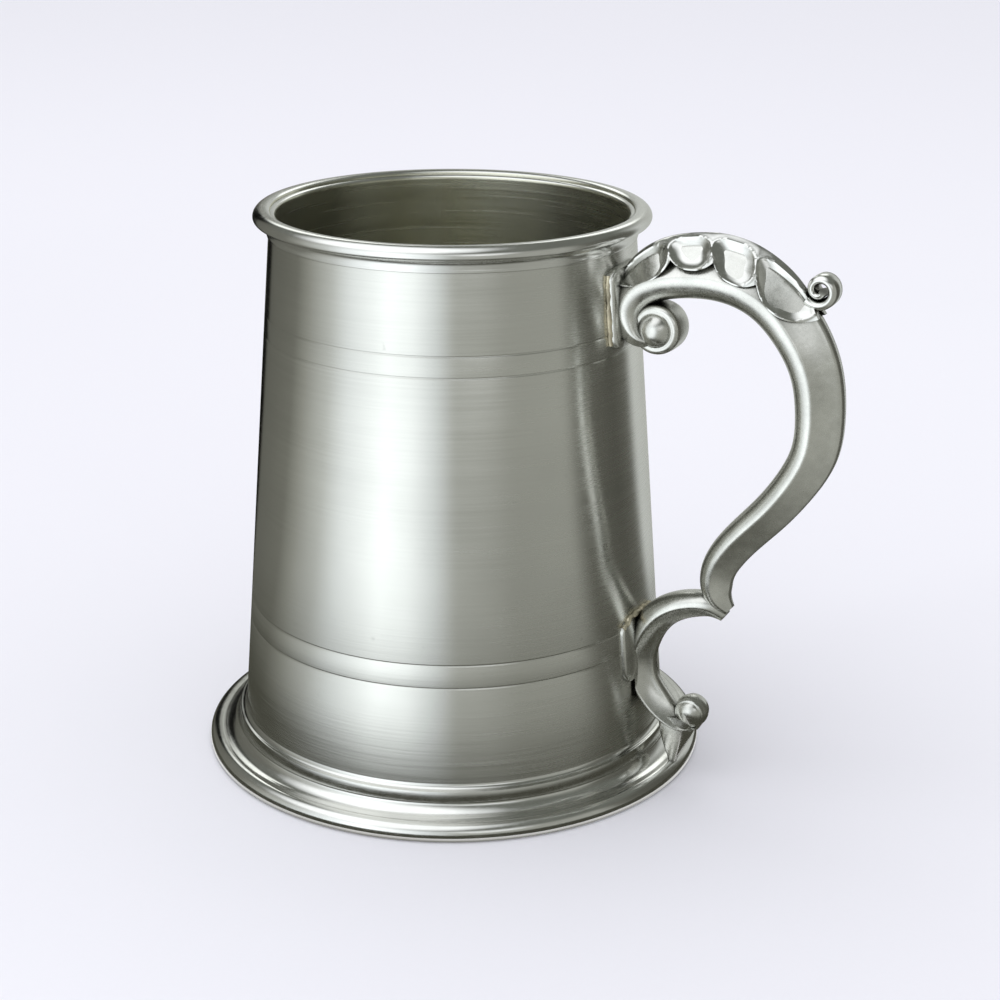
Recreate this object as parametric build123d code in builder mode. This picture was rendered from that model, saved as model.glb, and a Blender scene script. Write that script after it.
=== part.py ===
from build123d import *
import os

# One-pint pewter tankard with a double-scroll handle and no lid. Millimetres.
# Frame: +Z up, origin on the cup's axis at the plane the foot rests on,
# the handle's middle plane is XZ and the handle points along +X.

os.makedirs("parts", exist_ok=True)

# ---------------------------------------------------------------- cup, driving dimensions
rim_height = 120.0            # inner edge of the mouth above the table
lip_crown = 0.5               # the lip's round top stands this much above the inner edge
drum_base_radius = 47.6       # outer cone, carried down to the table
drum_slope = 0.0778           # loss of radius for each mm of height
wall = 1.3
drum_bottom = 9.2             # the wall stands on the foot's plate here
drum_top = 117.0              # the mouth moulding sits on the wall here
floor_thickness = 2.0

# pairs of engraved lines round the wall
line_heights = (98.4, 94.1, 34.8, 29.9)
line_depth = 0.3

# mouth moulding
moulding_bottom = 114.8
moulding_step = 0.3           # thickness of its lower edge on the wall
lip_radius = 41.8
lip_underside = 117.7
mouth_radius = 38.1

# foot
foot_radius = 55.3
foot_edge_height = 2.1        # height of the rounded outer edge
foot_edge_width = 2.6         # flat resting ring
foot_band_radius = 48.5       # upright band between the cup and the spread flange
foot_band_top = 8.1
foot_band_bottom = 5.6
foot_sheet = 1.4
foot_plate_bore = 41.0        # the plate under the cup floor is open inside this radius

# ---------------------------------------------------------------- handle, driving dimensions
upper_pad_thickness = 1.5
upper_pad_half_width = 7.0
upper_pad_bottom = 95.4
upper_pad_top = 112.0
lower_pad_thickness = 0.8
lower_pad_half_width = 8.4
lower_pad_bottom = 23.0
lower_pad_top = 36.6
pad_corner = 2.5

scroll_half_width = 5.5
finger_depth = 4.9            # widest line to the rounded finger side
back_depth = 6.3              # widest line to the narrow back
back_half_width = 1.5
back_round = 0.8
tail_scale = 0.64             # section at the tail, as a share of the section at the cup
tail_tip_start = 0.92         # from here on the tail closes to its tip
tail_tip_scale = 0.35
scroll_stations = 17

wrap_x = 48.4                 # the scroll's end wraps round the volute ball
wrap_z = 101.4
wrap_radius = 7.4
wrap_half_width = 4.4

volute_x = 47.7
volute_z = 99.7
volute_radius = 5.4

leaf_thickness = 1.7
leaf_flare = 0.8              # how far the leaf stands out past the scroll's sides
leaf_share = 0.46             # share of the scroll's length that the leaf covers
leaf_stations = 8
lobe_sag = 2.2

curl_x = 81.5
curl_z = 110.4
curl_radius = 3.6
curl_half_width = 2.5
curl_round = 1.0

small_half_width = 4.6
small_crown_low = 1.2         # widest line to the rounded side that faces the cup, at the ball
small_crown_high = 4.6        # and at the break
small_inner_depth = 3.7       # widest line to the narrow inner edge
small_inner_half_width = 1.1
small_taper = 0.75            # section at the break, as a share of the section at the ball
small_tip_start = 0.85        # from here on the small scroll closes to its tip
small_tip_scale = 0.4
small_stations = 13

ball_x = 57.7
ball_z = 16.2
ball_radius = 3.6

bead = 1.0                    # leg of the soft-solder fillet inside the cup


def drum_radius(z):
    """Outer radius of the cup's wall at height z."""
    return drum_base_radius - drum_slope * z


# ---------------------------------------------------------------- cup
with BuildPart() as body_drum:
    with BuildSketch(Plane.XZ):
        with BuildLine():
            Polyline(
                (drum_radius(drum_bottom) - wall, drum_bottom),
                (drum_radius(drum_bottom), drum_bottom),
                (drum_radius(drum_top), drum_top),
                (drum_radius(drum_top) - wall, drum_top),
                close=True,
            )
        make_face()
    revolve(axis=Axis.Z)
    # each engraved line is a fine V
    with BuildSketch(Plane.XZ):
        for height in line_heights:
            with BuildLine():
                Polyline(
                    (drum_radius(height) - line_depth, height),
                    (drum_radius(height) + line_depth, height + 2 * line_depth),
                    (drum_radius(height) + line_depth, height - 2 * line_depth),
                    close=True,
                )
            make_face()
    revolve(axis=Axis.Z, mode=Mode.SUBTRACT)
body_drum.part.label = "body_drum"
export_step(body_drum.part, "parts/body_drum.step")

with BuildPart() as floor_disc:
    with BuildSketch(Plane.XZ):
        with BuildLine():
            Polyline(
                (0, drum_bottom),
                (drum_radius(drum_bottom) - wall, drum_bottom),
                (drum_radius(drum_bottom + floor_thickness) - wall, drum_bottom + floor_thickness),
                (0, drum_bottom + floor_thickness),
                close=True,
            )
        make_face()
    revolve(axis=Axis.Z)
floor_disc.part.label = "floor_disc"
export_step(floor_disc.part, "parts/floor_disc.step")

with BuildPart() as floor_solder:
    floor_top = drum_bottom + floor_thickness
    with BuildSketch(Plane.XZ):
        with BuildLine():
            Polyline(
                (drum_radius(floor_top) - wall, floor_top),
                (drum_radius(floor_top + bead) - wall, floor_top + bead),
                (drum_radius(floor_top) - wall - bead, floor_top),
                close=True,
            )
        make_face()
    revolve(axis=Axis.Z)
floor_solder.part.label = "floor_solder"
export_step(floor_solder.part, "parts/floor_solder.step")

with BuildPart() as mouth_moulding:
    step_radius = drum_radius(moulding_bottom) + moulding_step
    lip_root = (lip_radius - 1.2, lip_underside)
    with BuildSketch(Plane.XZ):
        with BuildLine():
            Line((drum_radius(moulding_bottom), moulding_bottom), (step_radius, moulding_bottom))
            # hollow below the lip
            ThreePointArc((step_radius, moulding_bottom), (step_radius + 0.35, 116.5), lip_root)
            # rounded lip
            Spline(
                lip_root,
                (lip_radius, lip_underside + 1.1),
                (lip_radius - 1.9, rim_height + lip_crown),
                (mouth_radius, rim_height),
                tangents=[(1, 0), (-0.7, -0.7)],
            )
            # inner edge eases down to the wall's inner face
            Spline(
                (mouth_radius, rim_height),
                (drum_radius(drum_top) - wall, drum_top),
                tangents=[(-0.7, -0.7), (0, -1)],
            )
            Line((drum_radius(drum_top) - wall, drum_top), (drum_radius(drum_top), drum_top))
            Line((drum_radius(drum_top), drum_top), (drum_radius(moulding_bottom), moulding_bottom))
        make_face()
    revolve(axis=Axis.Z)
mouth_moulding.part.label = "mouth_moulding"
export_step(mouth_moulding.part, "parts/mouth_moulding.step")

with BuildPart() as foot_skirt:
    edge_inner = foot_radius - 0.3 - foot_edge_width
    with BuildSketch(Plane.XZ):
        with BuildLine():
            # seen side, from the cup down to the table
            Line((foot_plate_bore, drum_bottom), (drum_radius(drum_bottom), drum_bottom))
            ThreePointArc(
                (drum_radius(drum_bottom), drum_bottom),
                (drum_radius(drum_bottom) + 0.35, foot_band_top + 0.35),
                (foot_band_radius - 0.2, foot_band_top),
            )
            ThreePointArc(
                (foot_band_radius - 0.2, foot_band_top),
                (foot_band_radius + 0.1, foot_band_top - 1.3),
                (foot_band_radius + 0.2, foot_band_bottom),
            )
            ThreePointArc(
                (foot_band_radius + 0.2, foot_band_bottom),
                (foot_band_radius + 2.0, foot_edge_height + 1.3),
                (foot_radius - 0.7, foot_edge_height),
            )
            ThreePointArc(
                (foot_radius - 0.7, foot_edge_height),
                (foot_radius, foot_edge_height / 2),
                (foot_radius - 0.3, 0),
            )
            # resting ring and the hollow underneath
            Line((foot_radius - 0.3, 0), (edge_inner, 0))
            Line((edge_inner, 0), (edge_inner - 0.5, 1.0))
            ThreePointArc(
                (edge_inner - 0.5, 1.0),
                (foot_band_radius, foot_edge_height + 0.4),
                (foot_band_radius - foot_sheet, foot_band_bottom),
            )
            Line(
                (foot_band_radius - foot_sheet, foot_band_bottom),
                (foot_band_radius - foot_sheet - 0.6, drum_bottom - foot_sheet),
            )
            Line(
                (foot_band_radius - foot_sheet - 0.6, drum_bottom - foot_sheet),
                (foot_plate_bore, drum_bottom - foot_sheet),
            )
            Line((foot_plate_bore, drum_bottom - foot_sheet), (foot_plate_bore, drum_bottom))
        make_face()
    revolve(axis=Axis.Z)
foot_skirt.part.label = "foot_skirt"
export_step(foot_skirt.part, "parts/foot_skirt.step")


# ---------------------------------------------------------------- handle
def cone_core(thickness):
    """Solid cone of the cup's outside, grown by thickness, used to seat pads and castings."""
    with BuildPart() as core:
        with BuildSketch(Plane.XZ):
            with BuildLine():
                Polyline(
                    (0, 0),
                    (drum_radius(0) + thickness, 0),
                    (drum_radius(rim_height) + thickness, rim_height),
                    (0, rim_height),
                    close=True,
                )
            make_face()
        revolve(axis=Axis.Z)
    return core.part


cup_core = cone_core(0)
upper_seat = cone_core(upper_pad_thickness)
lower_seat = cone_core(lower_pad_thickness)

# pads that carry the handle on the tapering wall
pads = (
    ("upper_mount_pad", upper_seat, upper_pad_half_width, upper_pad_bottom, upper_pad_top),
    ("lower_mount_pad", lower_seat, lower_pad_half_width, lower_pad_bottom, lower_pad_top),
)
for pad_name, seat, half_width, pad_bottom, pad_top in pads:
    with BuildPart() as pad:
        with BuildSketch(Plane.YZ.offset(drum_radius(pad_top) - 5)):
            with Locations((0, (pad_bottom + pad_top) / 2)):
                RectangleRounded(2 * half_width, pad_top - pad_bottom, pad_corner)
        extrude(amount=15)
        add(seat, mode=Mode.INTERSECT)
        add(cup_core, mode=Mode.SUBTRACT)
    pad.part.label = pad_name
    export_step(pad.part, f"parts/{pad_name}.step")

# ball that the big scroll's end curls round
with BuildPart() as volute_ball:
    with Locations((volute_x, 0, volute_z)):
        Sphere(volute_radius)
    add(upper_seat, mode=Mode.SUBTRACT)
volute_ball.part.label = "volute_ball"
export_step(volute_ball.part, "parts/volute_ball.step")

# big scroll: its widest line runs from the cup over the arch and down to the tail
with BuildLine(Plane.XZ) as main_path:
    Spline(
        (41.5, 105.0),
        (60.5, 112.0),
        (76.0, 103.0),
        (82.2, 86.5),
        (77.7, 71.0),
        (67.6, 58.4),
        (61.8, 49.0),
        (62.2, 43.6),
        (65.2, 40.8),
        tangents=[(0.55, 0.83), (1, -0.4)],
    )
main_line = main_path.line

with BuildPart() as handle_main_scroll:
    for station in range(scroll_stations):
        along = station / (scroll_stations - 1)
        closing = max(0, along - tail_tip_start) / (1 - tail_tip_start)
        size = (1 + (tail_scale - 1) * along) * (1 + (tail_tip_scale - 1) * closing)
        half = scroll_half_width * size
        back = back_half_width * size
        shoulder = (back_depth - back_round) * size
        station_plane = Plane(origin=main_line @ along, x_dir=(0, 1, 0), z_dir=main_line % along)
        with BuildSketch(station_plane):
            with BuildLine():
                ThreePointArc((-half, 0), (0, -finger_depth * size), (half, 0))
                Line((half, 0), (back, shoulder))
                ThreePointArc((back, shoulder), (0, back_depth * size), (-back, shoulder))
                Line((-back, shoulder), (-half, 0))
            make_face()
    loft()
    # the end that curls down against the cup
    with BuildSketch(Plane.XZ.offset(-wrap_half_width)):
        with Locations((wrap_x, wrap_z)):
            Circle(wrap_radius)
        # open on the side away from the cup
        with Locations((wrap_x + wrap_radius, wrap_z)):
            Rectangle(2 * wrap_radius, 2 * wrap_radius, mode=Mode.SUBTRACT)
    extrude(amount=2 * wrap_half_width)
    add(upper_seat, mode=Mode.SUBTRACT)
    add(volute_ball.part, mode=Mode.SUBTRACT)
handle_main_scroll.part.label = "handle_main_scroll"
export_step(handle_main_scroll.part, "parts/handle_main_scroll.step")

# leaf over the arch: a skin outside the scroll, its lower edge cut in lobes
leaf_cusps = ((41.0, 109.5), (51.2, 115.2), (60.2, 115.6), (69.2, 112.0), (81.5, 106.5))
with BuildPart() as handle_leaf_cap:
    for station in range(leaf_stations):
        along = leaf_share * station / (leaf_stations - 1)
        size = 1 + (tail_scale - 1) * along
        half = scroll_half_width * size + leaf_flare
        back = back_half_width * size + leaf_flare
        shoulder = (back_depth - back_round) * size + leaf_thickness
        crown = back_depth * size + leaf_thickness
        station_plane = Plane(origin=main_line @ along, x_dir=(0, 1, 0), z_dir=main_line % along)
        with BuildSketch(station_plane):
            with BuildLine():
                Line((-half, 0), (half, 0))
                Line((half, 0), (back, shoulder))
                ThreePointArc((back, shoulder), (0, crown), (-back, shoulder))
                Line((-back, shoulder), (-half, 0))
            make_face()
    loft()
    with BuildSketch(Plane.XZ.offset(-2 * scroll_half_width)):
        with BuildLine():
            for start, end in zip(leaf_cusps[:-1], leaf_cusps[1:]):
                middle = ((start[0] + end[0]) / 2, (start[1] + end[1]) / 2 - lobe_sag)
                ThreePointArc(start, middle, end)
            Polyline(leaf_cusps[-1], (leaf_cusps[-1][0] + 6, 130), (leaf_cusps[0][0], 130), leaf_cusps[0])
        make_face()
    extrude(amount=4 * scroll_half_width, mode=Mode.INTERSECT)
    add(handle_main_scroll.part, mode=Mode.SUBTRACT)
    add(upper_seat, mode=Mode.SUBTRACT)
handle_leaf_cap.part.label = "handle_leaf_cap"
export_step(handle_leaf_cap.part, "parts/handle_leaf_cap.step")

# rolled tip of the leaf, where the thumb rests
with BuildPart() as thumb_curl:
    with BuildSketch(Plane.XZ.offset(-curl_half_width)):
        with Locations((curl_x, curl_z)):
            Circle(curl_radius)
    extrude(amount=2 * curl_half_width)
    fillet(thumb_curl.faces().filter_by(Axis.Y).edges(), curl_round)
    add(handle_main_scroll.part, mode=Mode.SUBTRACT)
    add(handle_leaf_cap.part, mode=Mode.SUBTRACT)
thumb_curl.part.label = "thumb_curl"
export_step(thumb_curl.part, "parts/thumb_curl.step")

# ball at the small scroll's lower end
with BuildPart() as lower_scroll_ball:
    with Locations((ball_x, 0, ball_z)):
        Sphere(ball_radius)
lower_scroll_ball.part.label = "lower_scroll_ball"
export_step(lower_scroll_ball.part, "parts/lower_scroll_ball.step")

# small scroll: from under its ball, round against the cup, up to the break
with BuildLine(Plane.XZ) as small_path:
    Spline(
        (59.0, 13.3),
        (51.0, 15.8),
        (46.5, 23.0),
        (46.7, 31.6),
        (51.6, 38.2),
        (57.5, 40.9),
        (63.8, 39.4),
        tangents=[(-1, 0.05), (1, -0.5)],
    )
small_line = small_path.line

with BuildPart() as handle_lower_scroll:
    for station in range(small_stations):
        along = station / (small_stations - 1)
        closing = max(0, along - small_tip_start) / (1 - small_tip_start)
        size = (1 + (small_taper - 1) * along) * (1 + (small_tip_scale - 1) * closing)
        half = small_half_width * size
        inner = small_inner_half_width * size
        crown = (small_crown_low + (small_crown_high - small_crown_low) * along) * size
        station_plane = Plane(origin=small_line @ along, x_dir=(0, 1, 0), z_dir=small_line % along)
        with BuildSketch(station_plane):
            with BuildLine():
                ThreePointArc((-half, 0), (0, crown), (half, 0))
                Line((half, 0), (inner, -small_inner_depth * size))
                Line((inner, -small_inner_depth * size), (-inner, -small_inner_depth * size))
                Line((-inner, -small_inner_depth * size), (-half, 0))
            make_face()
    loft()
    add(lower_seat, mode=Mode.SUBTRACT)
    add(handle_main_scroll.part, mode=Mode.SUBTRACT)
    add(lower_scroll_ball.part, mode=Mode.SUBTRACT)
    # the crumb beyond the big scroll's tip is dropped
    add(handle_lower_scroll.solids().sort_by(SortBy.VOLUME)[-1], mode=Mode.REPLACE)
handle_lower_scroll.part.label = "handle_lower_scroll"
export_step(handle_lower_scroll.part, "parts/handle_lower_scroll.step")

# tail under the small scroll, a wedge that stands on the foot's flange
tail_sections = (
    # height, middle x, length, width
    (15.0, 55.1, 8.2, 6.6),
    (9.0, 54.5, 5.4, 5.4),
    (3.0, 53.5, 1.6, 2.4),
)
with BuildPart() as handle_tail:
    for section_z, middle_x, length, width in tail_sections:
        with BuildSketch(Plane.XY.offset(section_z)):
            with Locations((middle_x, 0)):
                Rectangle(length, width)
    loft(ruled=True)
    add(handle_lower_scroll.part, mode=Mode.SUBTRACT)
    add(lower_scroll_ball.part, mode=Mode.SUBTRACT)
    add(foot_skirt.part, mode=Mode.SUBTRACT)
    # what the ball and the scroll cut off at the top is dropped
    add(handle_tail.solids().sort_by(SortBy.VOLUME)[-1], mode=Mode.REPLACE)
handle_tail.part.label = "handle_tail"
export_step(handle_tail.part, "parts/handle_tail.step")
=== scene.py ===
import math

import bmesh
import bpy
import numpy as np
from mathutils import Matrix, Vector


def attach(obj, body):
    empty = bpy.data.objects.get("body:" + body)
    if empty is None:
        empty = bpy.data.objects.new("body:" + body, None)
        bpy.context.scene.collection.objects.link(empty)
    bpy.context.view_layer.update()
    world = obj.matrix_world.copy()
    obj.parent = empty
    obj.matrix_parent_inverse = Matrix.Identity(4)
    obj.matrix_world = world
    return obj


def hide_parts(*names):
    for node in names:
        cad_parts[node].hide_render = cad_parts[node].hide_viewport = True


bl_info = {
    "name": "Pewter Tankard",
    "version": (1, 0, 0),
    "blender": (4, 5, 0),
    "location": "3D View > Sidebar > Tankard",
    "description": "Builds a one-pint pewter tankard with a double-scroll handle around its packed frame",
    "category": "Object",
}

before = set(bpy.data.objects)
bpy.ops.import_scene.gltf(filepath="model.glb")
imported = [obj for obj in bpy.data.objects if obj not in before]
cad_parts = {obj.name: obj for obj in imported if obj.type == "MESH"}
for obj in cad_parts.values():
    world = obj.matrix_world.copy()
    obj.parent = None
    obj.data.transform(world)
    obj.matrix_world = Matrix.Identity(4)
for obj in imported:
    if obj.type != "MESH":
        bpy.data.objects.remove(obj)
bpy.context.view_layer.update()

MM = 0.001

# pairs of engraved lines round the wall: their heights, and the section of one line as steps
# up from its middle with the share of the full depth at each step
LINE_HEIGHTS = (29.9, 34.8, 94.1, 98.4)
LINE_SECTION = ((-0.32, 0), (-0.2, 0.15), (-0.06, 1), (0.06, 1), (0.2, 0.15), (0.32, 0))
FLOOR_THICKNESS = 2.0
MOULDING_BOTTOM = 114.8

# pads: half width, bottom and top on the wall
UPPER_PAD = (7.0, 95.4, 112.0)
LOWER_PAD = (8.4, 23.0, 36.6)
PAD_CORNER = 2.5

# middles of the volute, the small ball and the thumb curl in the handle's plane
VOLUTE_MIDDLE = (47.7, 99.8)
BALL_MIDDLE = (57.7, 16.2)
CURL_MIDDLE = (81.2, 111.6)

# camera: degrees from the handle's plane round to the way it looks, its place and its axes
VIEW_HEADING = 26.63
CAMERA_PLACE = (0.19932, -0.37487, 0.20665)
CAMERA_RIGHT = (0.89328, 0.44948, 0.00403)
CAMERA_FORWARD = (-0.42196, 0.84161, -0.33711)


# ------------------------------------------------------------------ settings a user would change
def length(name, description, millimetres):
    """A length property, kept in metres."""
    return bpy.props.FloatProperty(
        name=name,
        description=description,
        default=millimetres * MM,
        precision=5,
        unit="LENGTH",
    )


def colour(name, description, red, green, blue):
    """A colour property."""
    return bpy.props.FloatVectorProperty(
        name=name,
        description=description,
        default=(red, green, blue),
        size=3,
        min=0,
        max=1,
        subtype="COLOR",
    )


def share(name, description, value):
    """A plain number between nothing and one."""
    return bpy.props.FloatProperty(name=name, description=description, default=value, min=0, max=1)


class TankardCupSettings(bpy.types.PropertyGroup):
    """Sizes of the cup, its mouth and its foot."""

    rim_height: length("Rim height", "Inner edge of the mouth above the table", 120.0)
    base_radius: length("Base radius", "Outer cone of the cup, carried down to the table", 47.6)
    slope: share("Taper", "Radius lost for each unit of height", 0.0778)
    wall: length("Wall", "Thickness of the cup's wall", 1.3)
    drum_bottom: length("Wall bottom", "Height where the wall stands on the foot", 9.2)
    drum_top: length("Wall top", "Height where the mouth moulding sits", 117.0)
    line_depth: length("Line depth", "Depth of the engraved lines", 0.14)
    lip_radius: length("Lip radius", "Outer radius of the rounded lip", 41.8)
    mouth_radius: length("Mouth radius", "Inner radius of the mouth", 38.1)
    foot_radius: length("Foot radius", "Outer radius of the foot", 55.3)
    band_radius: length("Foot band radius", "Upright band between cup and flange", 48.5)
    segments: bpy.props.IntProperty(
        name="Segments", description="Facets round each spun piece", default=256, min=24, max=400
    )


class TankardHandleSettings(bpy.types.PropertyGroup):
    """Sizes of the cast handle."""

    upper_pad: length("Upper pad", "Thickness of the upper mounting pad", 1.5)
    lower_pad: length("Lower pad", "Thickness of the lower mounting pad", 0.8)
    volute_radius: length("Volute radius", "Radius of the ball inside the big scroll", 5.3)
    ball_radius: length("Ball radius", "Radius of the ball inside the small scroll", 3.6)
    lobe_depth: length("Lobe depth", "How far the leaf's lobes are dished", 1.3)
    section_points: bpy.props.IntProperty(
        name="Section points", description="Points round a scroll's section", default=56, min=24, max=96
    )


class TankardFinishSettings(bpy.types.PropertyGroup):
    """Colours and gloss of the pewter."""

    satin: colour("Satin pewter", "Brushed wall of the cup", 0.70, 0.70, 0.66)
    polished: colour("Polished pewter", "Mouth, foot and leaf", 0.74, 0.74, 0.71)
    cast: colour("Cast pewter", "Scrolls and pads", 0.74, 0.74, 0.70)
    inside: colour("Inside pewter", "Olive tone of the inside", 0.72, 0.715, 0.60)
    solder: colour("Solder", "Joint metal", 0.80, 0.73, 0.56)
    # tone of the painted shade that darkens every metal where ambient occlusion finds the surface enclosed
    painted_hollow_shade: colour("Painted hollow shade", "Dark shade painted into hollows", 0.10, 0.10, 0.085)
    satin_roughness: share("Satin roughness", "Roughness of the brushed wall", 0.20)
    inside_roughness: share("Inside roughness", "Roughness of the turned inside", 0.24)
    polished_roughness: share("Polished roughness", "Roughness of the polished pieces", 0.16)
    cast_roughness: share("Cast roughness", "Roughness of the castings", 0.26)


class TankardStageSettings(bpy.types.PropertyGroup):
    """Paper, light and camera."""

    paper: colour("Paper", "Pale paper under the tankard", 0.86, 0.86, 0.925)
    top_power: bpy.props.FloatProperty(
        name="Top light", description="Power of the soft light above", default=3.2, min=0
    )
    world: colour("Room", "Colour of the room's light", 0.93, 0.93, 0.94)
    lens: bpy.props.FloatProperty(
        name="Lens", description="Focal length", default=73.68, subtype="DISTANCE_CAMERA"
    )


# ------------------------------------------------------------------ node helpers
def add_node(tree, kind, inputs=None, **settings):
    """Adds one node, sets its options and fills its inputs with numbers or links."""
    made = tree.nodes.new(kind)
    for key, value in settings.items():
        setattr(made, key, value)
    for key, value in (inputs or {}).items():
        if isinstance(value, bpy.types.NodeSocket):
            tree.links.new(value, made.inputs[key])
        else:
            made.inputs[key].default_value = value
    return made


def calc(tree, operation, *values):
    """One math step; gives its output socket."""
    return add_node(tree, "ShaderNodeMath", dict(enumerate(values)), operation=operation).outputs[0]


def calc_vector(tree, operation, *values):
    """One vector step; gives its node."""
    return add_node(tree, "ShaderNodeVectorMath", dict(enumerate(values)), operation=operation)


def split(tree, vector):
    """The three parts of a vector."""
    return add_node(tree, "ShaderNodeSeparateXYZ", {0: vector}).outputs


def join(tree, x, y, z):
    """A vector from three parts."""
    return add_node(tree, "ShaderNodeCombineXYZ", {0: x, 1: y, 2: z}).outputs[0]


def new_tree(name, inputs):
    """A geometry tree with a shape coming in, named inputs and a shape going out."""
    tree = bpy.data.node_groups.new(name, "GeometryNodeTree")
    tree.interface.new_socket("Geometry", in_out="INPUT", socket_type="NodeSocketGeometry")
    for socket_name, kind, value in inputs:
        socket = tree.interface.new_socket(socket_name, in_out="INPUT", socket_type=kind)
        if value is not None:
            socket.default_value = value
    tree.interface.new_socket("Geometry", in_out="OUTPUT", socket_type="NodeSocketGeometry")
    given = tree.nodes.new("NodeGroupInput").outputs
    return tree, given


def close_tree(tree, shape, material, crease):
    """Welds, smooths all but sharp edges, realizes and gives the metal."""
    welded = add_node(tree, "GeometryNodeMergeByDistance", {"Geometry": shape, "Distance": 2e-6}).outputs[0]
    smooth = add_node(
        tree, "GeometryNodeSetShadeSmooth", {"Geometry": welded, "Shade Smooth": True}
    ).outputs[0]
    bend = add_node(tree, "GeometryNodeInputMeshEdgeAngle").outputs[0]
    sharp = calc(tree, "GREATER_THAN", bend, crease)
    edged = add_node(
        tree,
        "GeometryNodeSetShadeSmooth",
        {"Geometry": smooth, "Selection": sharp, "Shade Smooth": False},
        domain="EDGE",
    ).outputs[0]
    real = add_node(tree, "GeometryNodeRealizeInstances", {"Geometry": edged}).outputs[0]
    done = add_node(tree, "GeometryNodeSetMaterial", {"Geometry": real, "Material": material}).outputs[0]
    add_node(tree, "NodeGroupOutput", {"Geometry": done})


def grid_of(tree, columns, rows):
    """A flat grid and, for each of its points, the column and the row it stands in."""
    grid = add_node(tree, "GeometryNodeMeshGrid", {"Vertices X": columns, "Vertices Y": rows}).outputs[0]
    index = add_node(tree, "GeometryNodeInputIndex").outputs[0]
    column = calc(tree, "FLOOR", calc(tree, "DIVIDE", calc(tree, "ADD", index, 0.25), rows))
    row = calc(tree, "SUBTRACT", index, calc(tree, "MULTIPLY", column, rows))
    return grid, column, row


def spun_tree():
    """Turns a profile, drawn as a row of points in XZ, once round the Z axis."""
    tree, given = new_tree(
        "Spun metal",
        (
            ("Segments", "NodeSocketInt", 256),
            ("Crease", "NodeSocketFloat", 0.6),
            ("Material", "NodeSocketMaterial", None),
        ),
    )
    sizes = add_node(tree, "GeometryNodeAttributeDomainSize", {"Geometry": given["Geometry"]})
    count = sizes.outputs["Point Count"]
    grid, column, row = grid_of(tree, calc(tree, "ADD", given["Segments"], 1), count)
    place = add_node(tree, "GeometryNodeInputPosition").outputs[0]
    point = add_node(
        tree,
        "GeometryNodeSampleIndex",
        {"Geometry": given["Geometry"], "Value": place, "Index": row},
        data_type="FLOAT_VECTOR",
    ).outputs[0]
    radius, _, height = split(tree, point)
    turn = calc(tree, "MULTIPLY", calc(tree, "DIVIDE", column, given["Segments"]), math.tau)
    spun = join(
        tree,
        calc(tree, "MULTIPLY", radius, calc(tree, "COSINE", turn)),
        calc(tree, "MULTIPLY", radius, calc(tree, "SINE", turn)),
        height,
    )
    shape = add_node(tree, "GeometryNodeSetPosition", {"Geometry": grid, "Position": spun}).outputs[0]
    close_tree(tree, shape, given["Material"], given["Crease"])
    return tree


def scroll_tree():
    """Sweeps a section along a line. The line's points come first, the section's points follow them.

    width holds half width, ridge and hollow; depth holds the ridged side and the round side. A
    station's sizes times a section point's shares give that point's place across and away from
    the line. Points that would lie inside the cup's seat are moved out to it.
    """
    tree, given = new_tree(
        "Cast scroll",
        (
            ("Stations", "NodeSocketInt", 100),
            ("Section Points", "NodeSocketInt", 56),
            ("Seat Radius", "NodeSocketFloat", 0.0),
            ("Seat Taper", "NodeSocketFloat", 0.0),
            ("Crease", "NodeSocketFloat", 1.2),
            ("Material", "NodeSocketMaterial", None),
        ),
    )
    columns = calc(tree, "ADD", given["Section Points"], 1)
    grid, column, row = grid_of(tree, columns, given["Stations"])
    wrapped = calc(tree, "MODULO", column, given["Section Points"])
    section = calc(tree, "ADD", given["Stations"], wrapped)

    def sample(value, index):
        return add_node(
            tree,
            "GeometryNodeSampleIndex",
            {"Geometry": given["Geometry"], "Value": value, "Index": index},
            data_type="FLOAT_VECTOR",
        ).outputs[0]

    def stored(name):
        return add_node(
            tree, "GeometryNodeInputNamedAttribute", {"Name": name}, data_type="FLOAT_VECTOR"
        ).outputs[0]

    place = add_node(tree, "GeometryNodeInputPosition").outputs[0]
    across = calc_vector(tree, "DOT_PRODUCT", sample(stored("width"), row), sample(stored("width"), section))
    away = calc_vector(tree, "DOT_PRODUCT", sample(stored("depth"), row), sample(stored("depth"), section))
    outward = calc_vector(tree, "SCALE", sample(stored("outward"), row))
    tree.links.new(away.outputs["Value"], outward.inputs["Scale"])
    centre = calc_vector(tree, "ADD", sample(place, row), outward.outputs[0]).outputs[0]
    x, _, z = split(tree, centre)
    y = across.outputs["Value"]
    reach = calc(tree, "SQRT", calc(tree, "ADD", calc(tree, "MULTIPLY", x, x), calc(tree, "MULTIPLY", y, y)))
    seat = calc(tree, "SUBTRACT", given["Seat Radius"], calc(tree, "MULTIPLY", given["Seat Taper"], z))
    grow = calc(tree, "MAXIMUM", calc(tree, "DIVIDE", seat, calc(tree, "MAXIMUM", reach, 1e-5)), 1)
    swept = join(tree, calc(tree, "MULTIPLY", x, grow), calc(tree, "MULTIPLY", y, grow), z)
    shape = add_node(tree, "GeometryNodeSetPosition", {"Geometry": grid, "Position": swept}).outputs[0]
    close_tree(tree, shape, given["Material"], given["Crease"])
    return tree


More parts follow.
